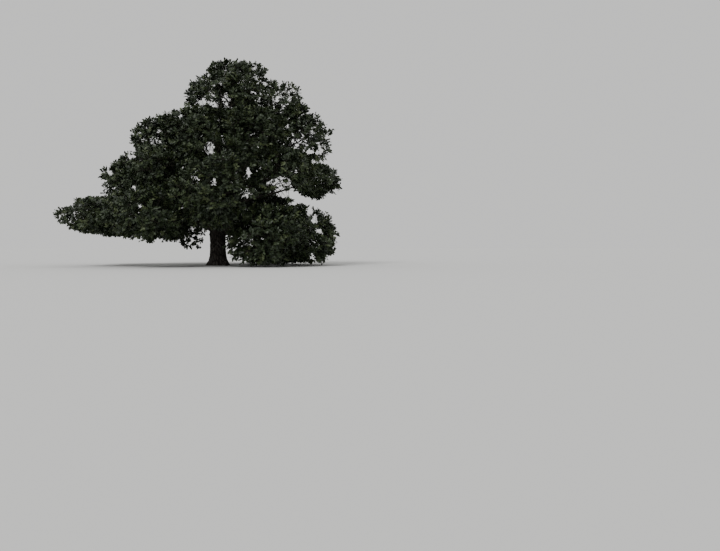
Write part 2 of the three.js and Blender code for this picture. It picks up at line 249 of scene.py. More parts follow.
def bark_material(name, dark, mid, pale):
    """Furrowed bark: darkened by painted shade in its furrows and fine cracks, grey-brown between them, with
    paler patches.
    """
    material, shader = new_finish(name, BARK_ROUGHNESS, BARK_GLOSS)
    link = material.node_tree.links.new
    place = add_node(material, "ShaderNodeAttribute", attribute_name="place").outputs["Vector"]
    # The furrow attribute says how much painted shade darkens the bark in a furrow.
    furrow = add_node(material, "ShaderNodeAttribute", attribute_name="furrow").outputs["Fac"]
    stretch = add_node(material, "ShaderNodeMapping", {"Scale": (1, 1, GRAIN_STRETCH)})
    link(place, stretch.inputs["Vector"])
    fibre = noise(material, stretch.outputs["Vector"], FIBRE_SCALE, FIBRE_DETAIL)

    cells = add_node(material, "ShaderNodeTexVoronoi", {"Scale": CRACK_SCALE}, feature="DISTANCE_TO_EDGE")
    link(stretch.outputs["Vector"], cells.inputs["Vector"])
    crack = add_node(material, "ShaderNodeMapRange", {"From Max": CRACK_WIDTH, "To Min": 1, "To Max": 0})
    link(cells.outputs["Distance"], crack.inputs["Value"])
    crack = crack.outputs["Result"]

    patches = noise(material, place, PATCH_SCALE, PATCH_DETAIL)
    # How far the colour goes towards the dark one: the fibres' own streaks, plus painted shade deep in the
    # furrows and in the fine cracks.
    shade = weighted(material, crack, CRACK_SHADE, weighted(material, fibre, FIBRE_SHADE, furrow))
    colour = add_node(material, "ShaderNodeMix", data_type="RGBA")
    link(shade, colour.inputs["Factor"])
    link(colour_run(material, patches, PATCH_FROM, mid, PATCH_TO, pale), colour.inputs["A"])
    colour.inputs["B"].default_value = (*dark, 1)
    link(colour.outputs["Result"], shader.inputs["Base Color"])
    height = weighted(material, crack, -CRACK_DEPTH, fibre, clamp=False)
    link(bump(material, height, BARK_BUMP, BARK_BUMP_HEIGHT), shader.inputs["Normal"])
    return material


def trunk_radius(height, angle):
    """The bole's radius: a slight taper, and a flare over the roots with lobes that die out up it."""
    flare = np.exp(-height / FLARE_HEIGHT)
    lobes = 1 + FLARE_LOBE_DEPTH * flare * np.cos(FLARE_LOBES * angle)
    taper = TRUNK_WIDTH + (FORK_WIDTH - TRUNK_WIDTH) * (height / FORK_HEIGHT) ** WIDENING_POWER
    return (taper + (FLARE_WIDTH - TRUNK_WIDTH) * flare) / 2 * lobes


bark = bark_material("oak_bark", BARK_DARK_AND_SHADE, BARK_MID, BARK_PALE)
heights = FORK_HEIGHT * np.linspace(0, 1, TRUNK_RINGS)
trunk_line = heights[:, None] * UP
trunk_angles = (np.arange(TRUNK_SIDES) * 2 * math.pi / TRUNK_SIDES)[None, :]
trunk_size = trunk_radius(heights[:, None], trunk_angles)
trunk = joined_mesh("trunk_bark", *barked(TRUNK_BARK, TRUNK_PLATES, trunk_line, trunk_size, heights))
trunk.data.materials.append(bark)
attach(trunk, "root")
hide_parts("trunk")

# Boughs
# The leader runs on up from the fork and leans to the right. The boughs leave it and the trunk in four
# tiers, thick at their collars and thin at their tips, each one reaching for the middle of its own foliage.
LEADER_WIDTH = 0.86
LEADER_TIP_WIDTH = 0.2
BOUGH_TIP_WIDTH = 0.13
TAPER_POWER = 0.85
FORK_AT = 0.42
FORK_SHARE = 0.66
CROOK = 0.035
HANDLE = 0.36
ENTRY = 0.9
COLLAR = 0.5
COLLAR_LENGTH = 0.24
FORK_EASE = 0.4
LEADER_SIDES, LEADER_RINGS = 84, 104
BOUGH_SIDES, BOUGH_RINGS = 16, 42
LIMB_STEPS = 400
HEADING_STEP = 0.002
FEWEST_PLATES = 5
GROUND_CLEARANCE = 0.12
BETWEEN_MASSES = 0.02
ALONG_PLANE = 1e-6
UNDERSIDE_AT_TRUNK = 1.3
UNDERSIDE_FALL = 0.16
REACH_VARIES = 0.03
SIZE_VARIES = 0.05
SEEDS_IN_TIER = 100
STREAM_START, STREAM_FACTOR, STREAM_STEP = 2654435761, 1664525, 1013904223
STREAM_SIZE = 2**32

# Each tier's masses stand in a ring round an axis. Reach, height and the half size upwards are given for the
# right, the back, the left and the front. Boughs of every other mass leave the stem, the others fork off.
TIERS = [
    dict(
        name="skirt", count=10, turn=14, main=1, axis=0, hangs=True,
        reach=(6.4, 6.2, 8.65, 6.2), height=(1.6, 2.2, 0.85, 2.0),
        lift={50: -0.5, 86: 1.2, 266: 1.45, 302: -0.6},
        size=(2.8, 3.5), up=(2.5, 2.4, 1.3, 2.4), bough=dict(low=2.15, high=2.7, width=0.46, rise=0.5),
    ),
    dict(
        name="lower", count=8, turn=0, main=0, axis=0, hangs=False,
        reach=(6.8, 5.8, 5.85, 5.7), height=(6.2, 6.2, 5.9, 6.4), lift={},
        size=(2.6, 3.1), up=(1.4, 2.5, 2.0, 2.5), bough=dict(low=3.9, high=4.7, width=0.38, rise=0.6),
    ),
    dict(
        name="middle", count=6, turn=0, main=0, axis=0.2, hangs=False,
        reach=(5.8, 3.8, 3.8, 3.6), height=(9.15, 9.2, 8.9, 8.8), lift={},
        size=(2.7, 3.0), up=(2.45, 2.4, 2.05, 2.3), bough=dict(low=6.3, high=7.1, width=0.3, rise=0.8),
    ),
    dict(
        name="upper", count=4, turn=0, main=0, axis=1.0, hangs=False,
        reach=(3.35, 2.2, 0.9, 2.1), height=(11.35, 11.5, 11.8, 11.6), lift={},
        size=(2.55, 2.7), up=(2.4, 2.2, 2.3, 2.2), bough=dict(low=8.4, high=8.9, width=0.22, rise=1.0),
    ),
    dict(
        name="top", count=1, turn=0, main=0, axis=1.35, hangs=False,
        reach=(0, 0, 0, 0), height=(12.95, 12.95, 12.95, 12.95), lift={},
        size=(2.9, 2.7), up=(2.15, 2.15, 2.15, 2.15), bough=None,
    ),
]


def stream(seed):
    """The solids' own repeatable stream of numbers between 0 and 1."""
    state = seed * STREAM_START % STREAM_SIZE
    while True:
        state = (state * STREAM_FACTOR + STREAM_STEP) % STREAM_SIZE
        yield state / STREAM_SIZE


def vary(draw, share):
    """A factor near 1, at most a share away from it."""
    return 1 + share * (2 * next(draw) - 1)


def around(sides, azimuth):
    """The value at an azimuth of something given for the right, back, left and front."""
    right, back, left, front = sides
    x, y = math.cos(azimuth), math.sin(azimuth)
    return (right if x > 0 else left) * x * x + (back if y > 0 else front) * y * y


class Mass:
    """One mass of foliage and the space that it keeps to: an egg, cut by a plane towards each neighbour."""

    def __init__(self, tier, level, k):
        degrees = tier["turn"] + k * 360 / tier["count"]
        azimuth = math.radians(degrees)
        self.tier, self.k, self.seed = tier, k, SEEDS_IN_TIER * level + k + 1
        self.name = f"{tier['name']}_{round(degrees)}"
        self.draw = stream(self.seed)
        reach = around(tier["reach"], azimuth) * vary(self.draw, REACH_VARIES)
        halves = (*tier["size"], around(tier["up"], azimuth))
        self.size = np.array([half * vary(self.draw, SIZE_VARIES) for half in halves])
        self.out = np.array([math.cos(azimuth), math.sin(azimuth), 0.0])
        self.axes = np.array([self.out, [-math.sin(azimuth), math.cos(azimuth), 0.0], UP])
        x = tier["axis"] + reach * math.cos(azimuth)
        underside = UNDERSIDE_AT_TRUNK - UNDERSIDE_FALL * x if tier["hangs"] else 0
        height = underside + around(tier["height"], azimuth) + tier["lift"].get(degrees, 0)
        self.middle = np.array([x, reach * math.sin(azimuth), height])
        self.planes = [(-UP, -GROUND_CLEARANCE)]

    def egg_reach(self, directions):
        """How far the egg reaches from its middle along some directions."""
        return 1 / np.linalg.norm(directions @ self.axes.T / self.size, axis=-1)

    def keep_off(self, other):
        """Cuts the space by a plane towards another mass, where the two eggs would meet."""
        apart = np.linalg.norm(other.middle - self.middle)
        normal = (other.middle - self.middle) / apart
        mine, theirs = self.egg_reach(normal), other.egg_reach(normal)
        if mine + theirs > apart:
            at = apart * mine / (mine + theirs) - BETWEEN_MASSES / 2
            self.planes.append((normal, normal @ self.middle + at))

    def plane_reach(self, directions):
        """How far it is from the middle to the first plane along some directions."""
        far = np.full(directions.shape[:-1], np.inf)
        for normal, offset in self.planes:
            rate = directions @ normal
            room = offset - normal @ self.middle
            far = np.where(rate > ALONG_PLANE, np.minimum(far, room / np.maximum(rate, ALONG_PLANE)), far)
        return far

    def reach(self, directions):
        """How far the space reaches from the middle along some directions."""
        return np.minimum(self.egg_reach(directions), self.plane_reach(directions))

    def at(self, directions, share):
        """The points that lie a share of the way from the middle to the edge along some directions."""
        return self.middle + directions * (self.reach(directions) * share)[..., None]

    def held(self, points, share):
        """The same points, with those that lie outside the space drawn back to a share of its reach."""
        away = points - self.middle
        far = np.linalg.norm(away, axis=-1)
        directions = away / np.maximum(far, TINY)[..., None]
        return self.middle + directions * np.minimum(far, self.reach(directions) * share)[..., None]


class Limb:
    """A limb's middle line, a bow with a crook to each side, and its width from its base to its tip."""

    def __init__(self, start, leave, end, arrive, crook, base, tip, stem_radius):
        t = np.linspace(0, 1, LIMB_STEPS)[:, None]
        length = np.linalg.norm(end - start)
        handles = [start, start + leave * length * HANDLE, end - arrive * length * HANDLE, end]
        shares = [(1 - t) ** 3, 3 * t * (1 - t) ** 2, 3 * t * t * (1 - t), t**3]
        bow = sum(share * handle for share, handle in zip(shares, handles))
        across = unit(np.cross(leave, end - start))
        self.points = bow + across * crook * length * np.sin(3 * math.pi * t) * np.sin(math.pi * t)
        run = np.concatenate([[0], np.cumsum(np.linalg.norm(np.diff(self.points, axis=0), axis=1))])
        self.length, self.shares = run[-1], run / run[-1]
        self.base, self.tip, self.stem_radius = base, tip, stem_radius

    def at(self, share):
        """The points at some shares of the limb's length."""
        return np.stack([np.interp(share, self.shares, self.points[:, i]) for i in range(3)], axis=-1)

    def heading(self, share):
        """The way that the limb runs at a share of its length."""
        return unit(self.at(min(share + HEADING_STEP, 1)) - self.at(max(share - HEADING_STEP, 0)))

    def at_height(self, height):
        """The point where the limb passes a height."""
        return np.array([np.interp(height, self.points[:, 2], self.points[:, i]) for i in range(3)])

    def radius(self, share):
        """The radius at a share of the limb's length, without the collar at its base."""
        return (self.base + (self.tip - self.base) * share**TAPER_POWER) / 2

    def barked(self, seed, rings, sides):
        """The limb as a mesh, with a collar where it comes out of what it grows on."""
        share = np.linspace(0, 1, rings)
        along = share * self.length
        past = np.maximum(0, along - self.stem_radius) / COLLAR_LENGTH
        radius = self.radius(share) * (1 + COLLAR * np.exp(-past))
        plates = max(FEWEST_PLATES, round(2 * math.pi * float(np.mean(radius)) / PLATE_WIDTH))
        return barked(seed, plates, self.at(share), np.repeat(radius[:, None], sides, axis=1), along)


masses = [Mass(tier, level, k) for level, tier in enumerate(TIERS) for k in range(tier["count"])]
for mass in masses:
    for other in masses:
        if other is not mass:
            mass.keep_off(other)

top_mass = masses[-1]
fork = np.array([0.0, 0.0, FORK_HEIGHT])
leader_end = top_mass.at(-UP, ENTRY)
leader = Limb(fork, UP, leader_end, UP, CROOK / 2, LEADER_WIDTH, LEADER_TIP_WIDTH, 0)
top_mass.limb = leader


def bough_to(mass, start, leave, base, stem_radius):
    """The bough that reaches for a mass, crooked to one hand or the other."""
    inward = unit(start - mass.middle)
    crook = CROOK * (-1 if next(mass.draw) < 0.5 else 1)
    return Limb(start, leave, mass.at(inward, ENTRY), -inward, crook, base, BOUGH_TIP_WIDTH, stem_radius)


for tier in TIERS[:-1]:
    ring = [mass for mass in masses if mass.tier is tier]
    plan = tier["bough"]
    main = [mass for mass in ring if mass.k % 2 == tier["main"]]
    for i, mass in enumerate(main):
        height = plan["low"] + (plan["high"] - plan["low"]) * (i * 2 % len(main)) / len(main)
        start = leader.at_height(height) if height > FORK_HEIGHT else height * UP
        leave = unit(mass.out + plan["rise"] * UP)
        stem_radius = LEADER_WIDTH / 2 if height > FORK_HEIGHT else TRUNK_WIDTH / 2
        mass.limb = bough_to(mass, start, leave, plan["width"], stem_radius)
    for mass in ring:
        if mass not in main:
            parent = ring[mass.k - 1].limb
            start = parent.at(FORK_AT)
            leave = unit(parent.heading(FORK_AT) + unit(mass.middle - start))
            thick = parent.radius(FORK_AT)
            mass.limb = bough_to(mass, start, leave, 2 * thick * FORK_SHARE, thick)


def joined(parts):
    """Several meshes' points, faces and grain as one, in arrays."""
    offsets = np.cumsum([0] + [len(part[0]) for part in parts[:-1]])
    points = np.concatenate([part[0] for part in parts])
    faces = np.concatenate([part[1] + offset for part, offset in zip(parts, offsets)])
    return points, faces, np.concatenate([part[2] for part in parts])


# The leader's bark carries on from the trunk's: the same plates, and at the fork the same width.
shares = np.linspace(0, 1, LEADER_RINGS)
leader_along = shares * leader.length
leader_size = leader.radius(shares) + (FORK_WIDTH - LEADER_WIDTH) / 2 * np.exp(-leader_along / FORK_EASE)
leader_mesh = barked(
    TRUNK_BARK, TRUNK_PLATES, leader.at(shares), np.repeat(leader_size[:, None], LEADER_SIDES, axis=1),
    FORK_HEIGHT + leader_along,
)
leader_piece = joined_mesh("leader_bark", *leader_mesh)
leader_piece.data.materials.append(bark)
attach(leader_piece, "root")
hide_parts("leader")
for tier in TIERS[:-1]:
    ring = [mass for mass in masses if mass.tier is tier]
    parts = [mass.limb.barked(mass.seed, BOUGH_RINGS, BOUGH_SIDES) for mass in ring]
    boughs = joined_mesh(f"boughs_{tier['name']}", *joined(parts))
    boughs.data.materials.append(bark)
    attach(boughs, "root")
    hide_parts(*[f"bough_{mass.name}" for mass in ring])

# Twigs
# In each mass the bough's tip carries on as a stem. Branches leave it to all sides, finer ones run from them
# to every clump of foliage, and twiglets to each spray of leaves. Short shoots grow along the boughs too, in
# the shade inside the crown, and longer ones hang beside the trunk.
BRANCH_WIDTH = 0.07
SIDE_BRANCH_WIDTH = 0.056
BRANCH_END_SHARE, TWIG_END_SHARE = 0.5, 0.4
BRANCH_BOW, TWIG_BOW = 0.08, 0.06
BRANCH_STEPS, TWIG_STEPS = 6, 4
STEM_SIDES, BRANCH_SIDES, TWIG_SIDES = 8, 5, 3
TWIGS = 7
TWIG_SPREAD = 1.62
TWIG_ROOTS_ALONG = 0.5
TWIG_END = 0.66
SIDE_TWIG_FROM = 0.33
SIDE_TWIG_TURN = 0.68
SIDE_TURN_VARIES = 0.2
GOLDEN_ANGLE = math.pi * (3 - math.sqrt(5))
TWIGS_LEAVE_FROM = 3
FINE_TWIG_WIDTH = 0.03
TWIGLET_WIDTH = 0.012
TWIG_MID = (0.05, 0.045, 0.035)
TWIG_PALE = (0.09, 0.085, 0.07)
ODD_WAY = unit(np.array([0.31, 0.52, 0.79]))

# The clumps of a mass, and the sprays of a clump.
SPRAY_SEED, FULL_SEED, SHOOT_SEED = 1600, 7000, 5000
CLUMP_SPACING = 1.03
CLUMP_SCATTER = 0.12
CLUMP_PHASE = (0, 6)
CLUMP_RADIUS = (0.4, 0.74)
CLUMP_EDGE = (0.86, 0.99)
CLUMP_INNERMOST = 0.2
FULL_EDGE = 0.9
INNER_CLUMPS = 0.2
INNER_PLACE = (0.25, 0.65)
BURIED = 0.8
BURIED_GROW = 0.28
SPRAYS_IN_CLUMP = 9
SPRAY_FROM = 0.3
SPRAY_EDGE = (0.9, 1.01)
SPRAY_LENGTH = (0.75, 1.15)
SPRAY_OUTWARD, SPRAY_UPWARD = 0.75, 0.25
STRAY_SHARE, STRAY_LENGTH = 0.14, 1.45

# The shoots along the boughs, those in a band round the stem, and those that hang beside the trunk.
SHOOTS_FROM, SHOOTS_TO = 0.12, 0.95
SHOOT_SPACING = 0.54
SHOOT_LENGTH = (0.3, 1.0)
SHOOT_RADIUS = (0.38, 0.54)
SHOOT_RISE = 0.5
LOWEST_SHOOT_LEFT, LOWEST_SHOOT_RIGHT = 3.2, 2.4
BAND_SHOOTS = 5
BAND_REACH = (1.0, 3.9)
BAND_HEIGHT = (3.4, 4.5)
BAND_TURN = 0.35
HANGING_FROM = ("skirt_158", "skirt_194")
HANGING_TWIGS = 17
HANGING_PLACE = (0.75, 2.9)
HANGING_LOWEST = (1.05, 1.75)
HANGING_ASIDE = 0.5
HANGING_RADIUS = (0.26, 0.4)
VIEW_DISTANCE = 59.4
VIEW_HEIGHT = 1.4

# Where the sky shows through from the front: each gap's place right of the trunk and above the ground, its
# half width and half height, and how much of the foliage in it still grows. Waves make their edges ragged.
GAP_CORE, GAP_RAGGED = 0.3, 1.1
RAGGED_TURNS = np.array([0.3, 1.4, 2.5, 3.5, 4.4])
RAGGED_RATES = np.array([7, 9, 12, 15, 19])
RAGGED_PHASES = 7 * RAGGED_TURNS
SKY_GAPS = [
    (0.1, 11.9, 1.1, 0.6, 0.6), (0.6, 11.95, 0.5, 0.3, 0.2), (-0.95, 11.8, 0.3, 0.35, 0.3),
    (0.85, 12.5, 0.35, 0.2, 0.45), (0.3, 11.45, 0.35, 0.15, 0.3), (-0.35, 11.8, 0.4, 0.12, 0.3),
    (2.75, 12.6, 0.35, 0.3, 0.5), (5.2, 12.5, 0.9, 0.4, 0.8), (6.3, 12.4, 0.35, 0.4, 0.1),
    (8.05, 10.3, 0.3, 0.3, 0.1), (7.1, 9.3, 1.3, 0.7, 0.8), (7.0, 8.5, 0.8, 0.3, 0.5),
    (-0.6, 8.4, 0.42, 0.62, 0.05), (2.5, 9.5, 0.4, 0.12, 0.2), (2.9, 8.65, 0.2, 0.15, 0.2),
    (5.7, 8.7, 0.25, 0.15, 0.2), (2.25, 6.95, 0.2, 0.3, 0.0), (0.0, 6.15, 0.55, 0.4, 0.4),
    (-1.4, 6.2, 0.2, 0.2, 0.1), (4.7, 5.35, 0.85, 0.42, 0.0), (5.7, 5.2, 0.7, 0.4, 0.0),
    (4.6, 6.1, 1.1, 0.4, 0.2), (5.7, 6.85, 0.3, 0.3, 0.3), (6.4, 4.75, 0.5, 0.25, 0.15),
    (7.9, 4.5, 0.75, 0.35, 0.0), (6.75, 3.9, 0.25, 0.45, 0.2), (7.1, 3.4, 0.28, 0.45, 0.1),
    (7.5, 2.5, 0.25, 0.3, 0.4), (6.9, 0.6, 0.5, 0.3, 0.6), (-5.85, 5.6, 0.18, 0.35, 0.0),
    (-5.45, 4.3, 0.26, 0.16, 0.0), (-7.5, 6.65, 0.25, 0.22, 0.2), (-7.6, 7.7, 0.3, 0.5, 0.1),
    (-6.5, 8.3, 0.7, 0.25, 0.1), (-10.9, 4.7, 0.8, 0.5, 0.0), (-11.7, 4.25, 0.4, 0.35, 0.0),
    (-10.3, 4.65, 0.42, 0.4, 0.0), (-1.75, 2.65, 0.2, 0.3, 0.0), (-1.3, 2.15, 0.25, 0.16, 0.0),
    (-0.85, 1.7, 0.2, 0.2, 0.0), (8.1, 5.0, 0.4, 0.42, 0.15), (-9.25, 5.05, 0.24, 0.28, 0.0),
    (-8.45, 5.1, 0.18, 0.24, 0.0),
]

# Where the crown is full right to its outline from the front, with more clumps: place, half width, half
# height, and the number of clumps.
FULL_PLACES = [
    (1.1, 1.4, 0.5, 0.7, 8), (8.25, 0.9, 0.4, 0.7, 6), (-0.5, 14.1, 0.5, 0.4, 14),
    (-1.7, 13.1, 0.35, 0.5, 6), (2.9, 14.3, 0.5, 0.35, 6), (3.6, 13.2, 0.5, 0.4, 6),
    (6.7, 11.0, 0.6, 0.7, 14), (-5.7, 9.8, 0.5, 0.4, 10), (7.7, 3.6, 0.4, 0.35, 4),
    (6.9, 4.5, 0.3, 0.35, 4), (8.3, 5.6, 0.4, 0.4, 4), (3.2, 4.6, 0.5, 0.4, 5),
    (-9.0, 5.2, 0.8, 0.2, 5), (-2.1, 12.2, 0.25, 0.4, 3), (-2.2, 6.7, 0.4, 0.4, 4),
    (0.4, 13.6, 1.0, 0.6, 8), (1.9, 14.4, 0.9, 0.4, 8), (3.3, 13.1, 0.5, 0.6, 8),
    (5.7, 10.7, 0.6, 0.6, 8), (5.4, 12.6, 0.7, 0.5, 6), (2.4, 4.3, 0.7, 0.4, 8),
    (-8.0, 7.0, 0.35, 0.4, 5), (-10.7, 3.6, 0.5, 0.3, 5), (0.9, 2.2, 0.4, 0.5, 5),
    (-1.5, 12.1, 0.4, 0.5, 5),
]


def straight_grain(points):
    """The grain of something with no furrows: each point's own place."""
    return np.column_stack([np.zeros(len(points)), points])


def across_of(direction):
    """Two directions square to a given one and to each other."""
    first = square_to(direction)
    return first, np.cross(direction, first)


def spread(count, pole, phase, reach):
    """Directions spread evenly round a pole, from the pole itself to past the equator."""
    i = np.arange(count)
    level = 1 - reach * i / (count - 1)
    angle = i * GOLDEN_ANGLE + phase
    ring = np.sqrt(1 - level**2)
    x, y = across_of(pole)
    return np.outer(level, pole) + np.outer(ring * np.cos(angle), x) + np.outer(ring * np.sin(angle), y)


def branch_plan(mass, root, pole):
    """The branches of the solids: where each starts, its direction from the mass's middle, and its width."""
    phase = 2 * math.pi * next(mass.draw)
    starts, outs, widths = [], [], []
    for i, out in enumerate(spread(TWIGS, pole, phase, TWIG_SPREAD)):
        x, y = across_of(out)
        tilt = 2 * math.pi * next(mass.draw)
        across = x * math.cos(tilt) + y * math.sin(tilt)
        starts.append(root + (mass.middle - root) * (1 - TWIG_ROOTS_ALONG * i / TWIGS))
        outs.append(out)
        widths.append(BRANCH_WIDTH)
        for hand in (-1, 1):
            turn = hand * SIDE_TWIG_TURN * vary(mass.draw, SIDE_TURN_VARIES)
            starts.append(mass.at(out, SIDE_TWIG_FROM))
            outs.append(out * math.cos(turn) + across * math.sin(turn))
            widths.append(SIDE_BRANCH_WIDTH)
    return np.array(starts), np.array(outs), np.array(widths)


def bowed(starts, ends, lift, steps):
    """Lines from starts to ends that bow by a share of their length towards a direction."""
    t = np.linspace(0, 1, steps)[None, :, None]
    length = np.linalg.norm(ends - starts, axis=-1)[:, None, None]
    bow = 4 * t * (1 - t) * length * lift
    return starts[:, None] + (ends - starts)[:, None] * t + bow


def rings_round(chords, sides):
    """For each chord, directions square to it and evenly round it."""
    x = unit(np.cross(chords, ODD_WAY))
    y = np.cross(chords, x)
    angle = np.arange(sides) * 2 * math.pi / sides
    return x[:, None] * np.cos(angle)[None, :, None] + y[:, None] * np.sin(angle)[None, :, None]


def rods(lines, widths, sides):
    """Tapering twigs along lines, as joined points and faces. Widths are at each twig's start and end."""
    count, steps = lines.shape[:2]
    ring = rings_round(unit(lines[:, -1] - lines[:, 0]), sides)
    share = np.linspace(0, 1, steps)[None, :]
    radius = (widths[:, :1] * (1 - share) + widths[:, 1:] * share) / 2
    points = (lines[:, :, None] + ring[:, None] * radius[..., None, None]).reshape(-1, 3)
    rod, step, side = np.meshgrid(np.arange(count), np.arange(steps - 1), np.arange(sides), indexing="ij")
    base = rod * steps * sides + step * sides
    a, b = base + side, base + (side + 1) % sides
    faces = np.stack([a, b, b + sides, a, b + sides, a + sides], axis=-1).reshape(-1, 3)
    return points, faces, straight_grain(points)


def fine_twigs(starts, ends):
    """The twigs that carry clumps, each from its start to its clump."""
    widths = np.tile([FINE_TWIG_WIDTH, FINE_TWIG_WIDTH * TWIG_END_SHARE], (len(starts), 1))
    return rods(bowed(starts, ends, TWIG_BOW * UP, TWIG_STEPS), widths, TWIG_SIDES)


def spikes(starts, ends, width):
    """Twiglets with three sides that run out to a point, as joined points and faces."""
    ring = rings_round(unit(ends - starts), 3)
    points = np.concatenate([starts[:, None] + ring * width / 2, ends[:, None]], axis=1).reshape(-1, 3)
    first = np.arange(len(starts))[:, None, None] * 4
    faces = first + np.array([(0, 1, 3), (1, 2, 3), (2, 0, 3)])[None]
    return points, faces.reshape(-1, 3), straight_grain(points)


def seen_at(points):
    """Where points appear from the front, right of the trunk and above the ground."""
    nearer = VIEW_DISTANCE / (VIEW_DISTANCE + points[:, 1])
    return points[:, 0] * nearer, VIEW_HEIGHT + (points[:, 2] - VIEW_HEIGHT) * nearer


def seen_there(x, y, z):
    """The points as far back as y that appear from the front x right of the trunk and z above the ground."""
    farther = (VIEW_DISTANCE + y) / VIEW_DISTANCE
    return np.stack([x * farther, y, VIEW_HEIGHT + (z - VIEW_HEIGHT) * farther], axis=1)


def in_sky_gap(points):
    """Whether points lie in one of the gaps that run through the crown along the line of sight."""
    x, z = seen_at(points)
    across = x[:, None] * np.cos(RAGGED_TURNS) + z[:, None] * np.sin(RAGGED_TURNS)
    speckle = 0.5 + np.cos(RAGGED_RATES * across + RAGGED_PHASES).mean(axis=1)
    inside = np.zeros(len(points), bool)
    for gap_x, gap_z, half_width, half_height, filled in SKY_GAPS:
        away = ((x - gap_x) / half_width) ** 2 + ((z - gap_z) / half_height) ** 2
        inside |= (away < GAP_CORE + GAP_RAGGED * speckle) & (speckle >= filled)
    return inside


def sprays_in(rng, centres, ways, radii):
    """The sprays of some clumps, before anything holds them in: each one's clump, and where it ends."""
    mean_radius = sum(CLUMP_RADIUS) / 2
    each = np.round(SPRAYS_IN_CLUMP * (radii / mean_radius) ** 2).astype(int)
    of = np.repeat(np.arange(len(centres)), each)
    ball = unit(rng.normal(0, 1, (len(of), 3)) + SPRAY_OUTWARD * ways[of] + SPRAY_UPWARD * UP)
    length = rng.uniform(*SPRAY_LENGTH, len(of))
    length[rng.random(len(of)) < STRAY_SHARE] *= STRAY_LENGTH
    return of, centres[of] + ball * (length * radii[of])[:, None]


class Growth:
    """Some sprays: where each starts and ends, which way is out for it, and the twigs that carry them."""

    def keep(self, of, centres, ways, ends):
        """Keeps the sprays that lie in no gap, and says which clumps still have one."""
        growing = ~in_sky_gap(ends) & ~in_sky_gap((centres[of] + ends) / 2)
        hearts = centres[of][growing]
        self.ends = ends[growing]
        self.starts = hearts + (self.ends - hearts) * SPRAY_FROM
        self.outs = ways[of][growing]
        self.twiglets = spikes(hearts, self.ends, TWIGLET_WIDTH)
        return np.isin(np.arange(len(centres)), of[growing])


class Sprays(Growth):
    """The growth of one mass, which keeps to the mass's space."""

    def __init__(self, mass):
        rng = self.rng = np.random.default_rng(SPRAY_SEED + mass.seed)
        self.within = mass
        pole = mass.limb.heading(1)
        root = mass.limb.at(1)
        starts, outs, widths = branch_plan(mass, root, pole)
        tips = mass.at(outs, TWIG_END)
        branches = bowed(starts, tips, BRANCH_BOW * UP, BRANCH_STEPS)

        ways, centres, radii = self.clumps(mass, pole)
        nearest = np.argmin(np.linalg.norm(centres[:, None] - tips[None], axis=-1), axis=1)
        fine_starts = branches[nearest, rng.integers(TWIGS_LEAVE_FROM, BRANCH_STEPS, len(centres))]

        of, ends = sprays_in(rng, centres, ways, radii)
        ends = mass.held(ends, rng.uniform(*SPRAY_EDGE, len(ends)))
        used = self.keep(of, centres, ways, ends)
        stem = bowed(root[None], mass.middle[None], 0 * UP, TWIG_STEPS)
        self.wood = joined([
            rods(stem, np.array([[BOUGH_TIP_WIDTH, BRANCH_WIDTH]]), STEM_SIDES),
            rods(branches, np.stack([widths, widths * BRANCH_END_SHARE], axis=1), BRANCH_SIDES),
            fine_twigs(fine_starts[used], centres[used]),
            self.twiglets,
        ])

    def clumps(self, mass, pole):
        """Each clump's direction from the mass's middle, its centre and its radius."""
        rng = self.rng
        area = 4 * math.pi * np.mean(mass.size) ** 2
        count = round(area / CLUMP_SPACING**2)
        even = spread(count, pole, phase=rng.uniform(*CLUMP_PHASE), reach=2)
        ways = unit(even + rng.normal(0, CLUMP_SCATTER, (count, 3)))
        buried = mass.plane_reach(ways) < BURIED * mass.egg_reach(ways)
        outer = ways[~buried | (rng.random(count) < BURIED_GROW)]
        inner = unit(rng.normal(0, 1, (round(INNER_CLUMPS * len(outer)), 3)))
        radii = rng.uniform(*CLUMP_RADIUS, len(outer) + len(inner))
        edge = rng.uniform(*CLUMP_EDGE, len(outer)) - radii[:len(outer)] / mass.reach(outer)
        place = np.concatenate([np.maximum(edge, CLUMP_INNERMOST), rng.uniform(*INNER_PLACE, len(inner))])
        ways = np.concatenate([outer, inner])
        more = self.full_places(mass)
        centres = np.concatenate([mass.at(ways, place), more])
        ways = np.concatenate([ways, unit(more - mass.middle)])
        return ways, centres, np.concatenate([radii, np.full(len(more), CLUMP_RADIUS[0])])

    def full_places(self, mass):
        """The centres of the clumps that fill the crown's outline where it is full from the front."""
        rng = np.random.default_rng(FULL_SEED + mass.seed)
        kept = []
        for x, z, half_width, half_height, number in FULL_PLACES:
            aside, back, up = (rng.uniform(-1, 1, (number, 3)) * (half_width, max(mass.size), half_height)).T
            centres = seen_there(x + aside, mass.middle[1] + back, z + up)
            away = centres - mass.middle
            kept.append(centres[np.linalg.norm(away, axis=1) < FULL_EDGE * mass.reach(unit(away))])
        return np.concatenate(kept)


